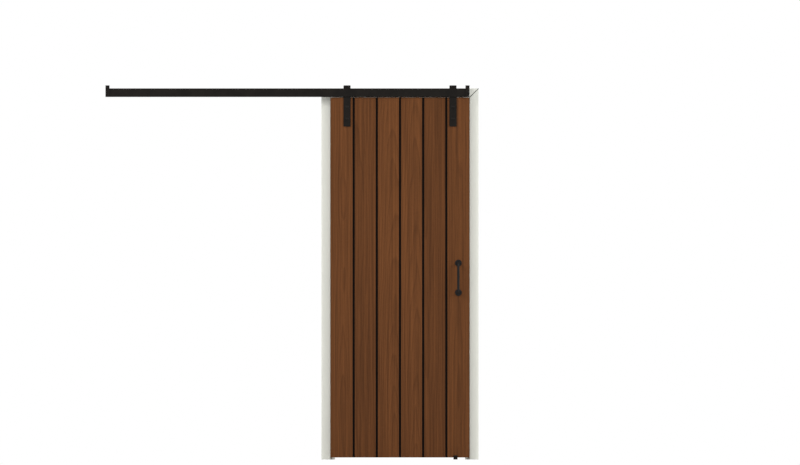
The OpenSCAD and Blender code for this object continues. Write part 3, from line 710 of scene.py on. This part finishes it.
def wind_thread(mesh, length, look):
    """A ridge wound along Y round a screw's core, fading at both ends and following the pointed tip."""
    pitch, height = look.thread_pitch, look.thread_height
    foot = look.thread_core - height * THREAD_SINK
    profile = [(foot, -height), (look.thread_core + height, 0), (foot, height)]
    ridge = mesh.faces.new([mesh.verts.new((out, along, 0)) for out, along in profile])
    steps = round(length / pitch * ROUND)
    bmesh.ops.spin(
        mesh, geom=[ridge, *ridge.edges, *ridge.verts], cent=(0, 0, 0), axis=(0, 1, 0),
        dvec=(0, length / steps, 0), angle=-length / pitch * math.tau, steps=steps,
    )
    for vert in mesh.verts:
        fade = max(THREAD_START, min(1, vert.co.y / pitch, (length - vert.co.y) / pitch))
        to_end = max(0, min(1, (length + pitch - vert.co.y) / look.tip_length))
        taper = TIP_SHARE + (1 - TIP_SHARE) * to_end
        out = math.hypot(vert.co.x, vert.co.z)
        share = taper * (foot + (out - foot) * fade) / out
        vert.co.x *= share
        vert.co.z *= share


def crossed_screw(mesh, length, look):
    """Countersunk screw pointing down from the origin, with a cross recess in its head."""
    head, core = look.floor_screw_head, look.floor_screw
    rim = bmesh.ops.create_circle(mesh, segments=ROUND, radius=head)["verts"]
    rim_edges = list({edge for vert in rim for edge in vert.link_edges})
    edges = rim_edges
    for scale, drop in ((core / head, head - core), (1.0, length - head + core)):
        made = bmesh.ops.extrude_edge_only(mesh, edges=edges)["geom"]
        bmesh.ops.scale(mesh, vec=(scale, scale, 1), verts=only_verts(made))
        bmesh.ops.translate(mesh, vec=(0, 0, -drop), verts=only_verts(made))
        edges = [item for item in made if isinstance(item, bmesh.types.BMEdge)]
    bmesh.ops.edgeloop_fill(mesh, edges=edges)

    arm, half = head * CROSS_ARM, head * CROSS_HALF
    corners = [Vector((arm, -half, 0)), Vector((arm, half, 0)), Vector((half, half, 0))]
    turns = [Matrix.Rotation(turn * math.pi / 2, 3, "Z") for turn in range(4)]
    outline = [turn @ corner for turn in turns for corner in corners]
    cross = mesh.faces.new([mesh.verts.new(corner) for corner in outline])
    cross_edges = list(cross.edges)
    recess = bmesh.ops.extrude_discrete_faces(mesh, faces=[cross])["faces"][0]
    bmesh.ops.translate(mesh, vec=(0, 0, -head * CROSS_DEPTH), verts=recess.verts)
    bmesh.ops.scale(mesh, vec=(CROSS_TAPER, CROSS_TAPER, 1), verts=recess.verts)
    bmesh.ops.bridge_loops(mesh, edges=[*rim_edges, *cross_edges])


def new_piece(name, mesh, body, material):
    """Turns a bmesh into a piece that rides on a body."""
    bmesh.ops.recalc_face_normals(mesh, faces=mesh.faces)
    data = bpy.data.meshes.new(name)
    mesh.to_mesh(data)
    mesh.free()
    data.materials.append(material)
    piece = bpy.data.objects.new(name, data)
    bpy.context.scene.collection.objects.link(piece)
    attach(piece, body)


class DOOR_OT_planks(bpy.types.Operator):
    """Stain the planks"""

    bl_idname = "plank_door.planks"
    bl_label = "Planks"

    def execute(self, context):
        dress(PLANKS, plank_wood(context.scene.plank_door_wood))
        return {"FINISHED"}


class DOOR_OT_ledges(bpy.types.Operator):
    """Stain the ledges on the back of the leaf"""

    bl_idname = "plank_door.ledges"
    bl_label = "Ledges"

    def execute(self, context):
        dress(LEDGES, ledge_wood(context.scene.plank_door_wood))
        return {"FINISHED"}


class DOOR_OT_frame(bpy.types.Operator):
    """Paint the jambs and the casing"""

    bl_idname = "plank_door.frame"
    bl_label = "Jambs and casing"

    def execute(self, context):
        look = context.scene.plank_door_paint
        dress(UPRIGHT_BOARDS, brushed_paint("upright_paint", look, "Z"))
        dress(LEVEL_BOARDS, brushed_paint("level_paint", look, "X"))
        return {"FINISHED"}


class DOOR_OT_steelwork(bpy.types.Operator):
    """Coat the rail, its stops and spacers, the straps and the floor guide"""

    bl_idname = "plank_door.steelwork"
    bl_label = "Rail, stops, straps and guide"

    def execute(self, context):
        look = context.scene.plank_door_steel
        coat = powder_coat("black_coat", look.coat_colour, COAT_MARKS, BLACK_COAT)
        dress([*TRACK, *HANGERS, *DARK_FASTENERS, "floor_guide"], coat)
        ease(EASED, look.arris)
        self.floor_screws(look, coat)
        return {"FINISHED"}

    def floor_screws(self, look, coat):
        """Screws in the guide's two feet."""
        top = look.guide_foot_height - look.arris / 2
        mesh = bmesh.new()
        crossed_screw(mesh, top, look)
        repeat(mesh, [(place.x, place.y, top) for place in screw_places("guide_screws")])
        new_piece("guide_screws", mesh, "frame", coat)


class DOOR_OT_pull(bpy.types.Operator):
    """Finish the pull and its rosettes"""

    bl_idname = "plank_door.pull"
    bl_label = "Pull"

    def execute(self, context):
        look = context.scene.plank_door_steel
        dress(PULL, powder_coat("dark_iron", look.pull_colour, IRON_MARKS, DARK_IRON))
        return {"FINISHED"}


class DOOR_OT_fasteners(bpy.types.Operator):
    """Plate the bright fasteners and the bearings"""

    bl_idname = "plank_door.fasteners"
    bl_label = "Fasteners and bearings"

    def execute(self, context):
        look = context.scene.plank_door_steel
        zinc = zinc_plate(look)
        dress(BRIGHT_FASTENERS, zinc)
        self.lag_threads(look, zinc)
        return {"FINISHED"}

    def lag_threads(self, look, zinc):
        """Threads of the lag screws, from the wall's face to their tips."""
        start = look.thread_pitch
        places = [(place.x, start, place.z) for name in LAG_MOUNTS for place in screw_places(name)]
        mesh = bmesh.new()
        wind_thread(mesh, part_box("lag_screws")[1].y - 2 * start, look)
        repeat(mesh, places)
        new_piece("lag_threads", mesh, "frame", zinc)


class DOOR_OT_moulded(bpy.types.Operator):
    """Finish the wheels, slide pads and bumpers"""

    bl_idname = "plank_door.moulded"
    bl_label = "Wheels, pads and bumpers"

    def execute(self, context):
        look = context.scene.plank_door_steel
        dress(["left_wheel", "right_wheel", "guide_pads"], moulded("nylon", look.nylon_colour, NYLON))
        dress(["left_bumper", "right_bumper"], moulded("rubber", look.rubber_colour, RUBBER))
        return {"FINISHED"}


class DOOR_OT_stage(bpy.types.Operator):
    """Set the floor, the light and the camera"""

    bl_idname = "plank_door.stage"
    bl_label = "Stage"

    def execute(self, context):
        look = context.scene.plank_door_stage
        self.floor(look)
        self.room(look)
        middle = (LEAF_LOW + LEAF_HIGH) / 2
        for name, (place, power) in LAMPS.items():
            self.lamp(name, Vector(place), middle, getattr(look, power))
        self.camera(look)
        context.scene.view_settings.view_transform = "Standard"
        return {"FINISHED"}

    def floor(self, look):
        mesh = bmesh.new()
        bmesh.ops.create_grid(mesh, x_segments=1, y_segments=1, size=FLOOR_SIZE / 2)
        bmesh.ops.translate(mesh, verts=mesh.verts, vec=(0, 0, -FLOOR_DROP))
        data = bpy.data.meshes.new("floor")
        mesh.to_mesh(data)
        mesh.free()
        data.materials.append(pale_floor(look.floor_colour))
        floor = bpy.data.objects.new("floor", data)
        bpy.context.scene.collection.objects.link(floor)

    def room(self, look):
        """Even light, seen as plain white by the camera and in reflections."""
        world = bpy.data.worlds.new("room")
        world.use_nodes = True
        tree = world.node_tree
        sky = tree.nodes["Background"]
        sky.inputs["Color"].default_value = (1, 1, 1, 1)
        level = tree.nodes.new("ShaderNodeMapRange")
        level.inputs["To Min"].default_value = look.room_light
        level.inputs["To Max"].default_value = 1.0
        tree.links.new(seen_directly(tree), level.inputs["Value"])
        tree.links.new(level.outputs["Result"], sky.inputs["Strength"])
        bpy.context.scene.world = world

    def lamp(self, name, place, aim, power):
        data = bpy.data.lights.new(name, "AREA")
        data.shape = "SQUARE"
        data.size = LAMP_SIZE
        data.energy = power
        lamp = bpy.data.objects.new(name, data)
        lamp.location = place
        lamp.rotation_euler = (aim - place).to_track_quat("-Z", "Y").to_euler()
        bpy.context.scene.collection.objects.link(lamp)

    def camera(self, look):
        data = bpy.data.cameras.new("camera")
        data.type = "ORTHO"
        data.ortho_scale = look.view_width
        camera = bpy.data.objects.new("camera", data)
        camera.location = (0, -CAMERA_AWAY, look.view_height)
        camera.rotation_euler = (math.pi / 2, 0, 0)
        bpy.context.scene.collection.objects.link(camera)
        bpy.context.scene.camera = camera


OPERATORS = [
    DOOR_OT_planks, DOOR_OT_ledges, DOOR_OT_frame, DOOR_OT_steelwork, DOOR_OT_pull,
    DOOR_OT_fasteners, DOOR_OT_moulded, DOOR_OT_stage,
]
LOOKS = {
    "plank_door_wood": WoodLook,
    "plank_door_paint": PaintLook,
    "plank_door_steel": SteelLook,
    "plank_door_stage": StageLook,
}


class DOOR_PT_panel(bpy.types.Panel):
    """Steps and settings of the plank door"""

    bl_label = "Plank door"
    bl_space_type = "VIEW_3D"
    bl_region_type = "UI"
    bl_category = "Plank door"

    def draw(self, context):
        for operator in OPERATORS:
            self.layout.operator(operator.bl_idname)
        for key, group in LOOKS.items():
            box = self.layout.box()
            for setting in group.__annotations__:
                box.prop(getattr(context.scene, key), setting)


def register():
    for group in [*LOOKS.values(), *OPERATORS, DOOR_PT_panel]:
        bpy.utils.register_class(group)
    for key, group in LOOKS.items():
        setattr(bpy.types.Scene, key, PointerProperty(type=group))


def unregister():
    for key in LOOKS:
        delattr(bpy.types.Scene, key)
    for group in reversed([*LOOKS.values(), *OPERATORS, DOOR_PT_panel]):
        bpy.utils.unregister_class(group)


def main():
    register()
    for operator in OPERATORS:
        family, step = operator.bl_idname.split(".")
        getattr(getattr(bpy.ops, family), step)()


if __name__ == "__main__":
    main()
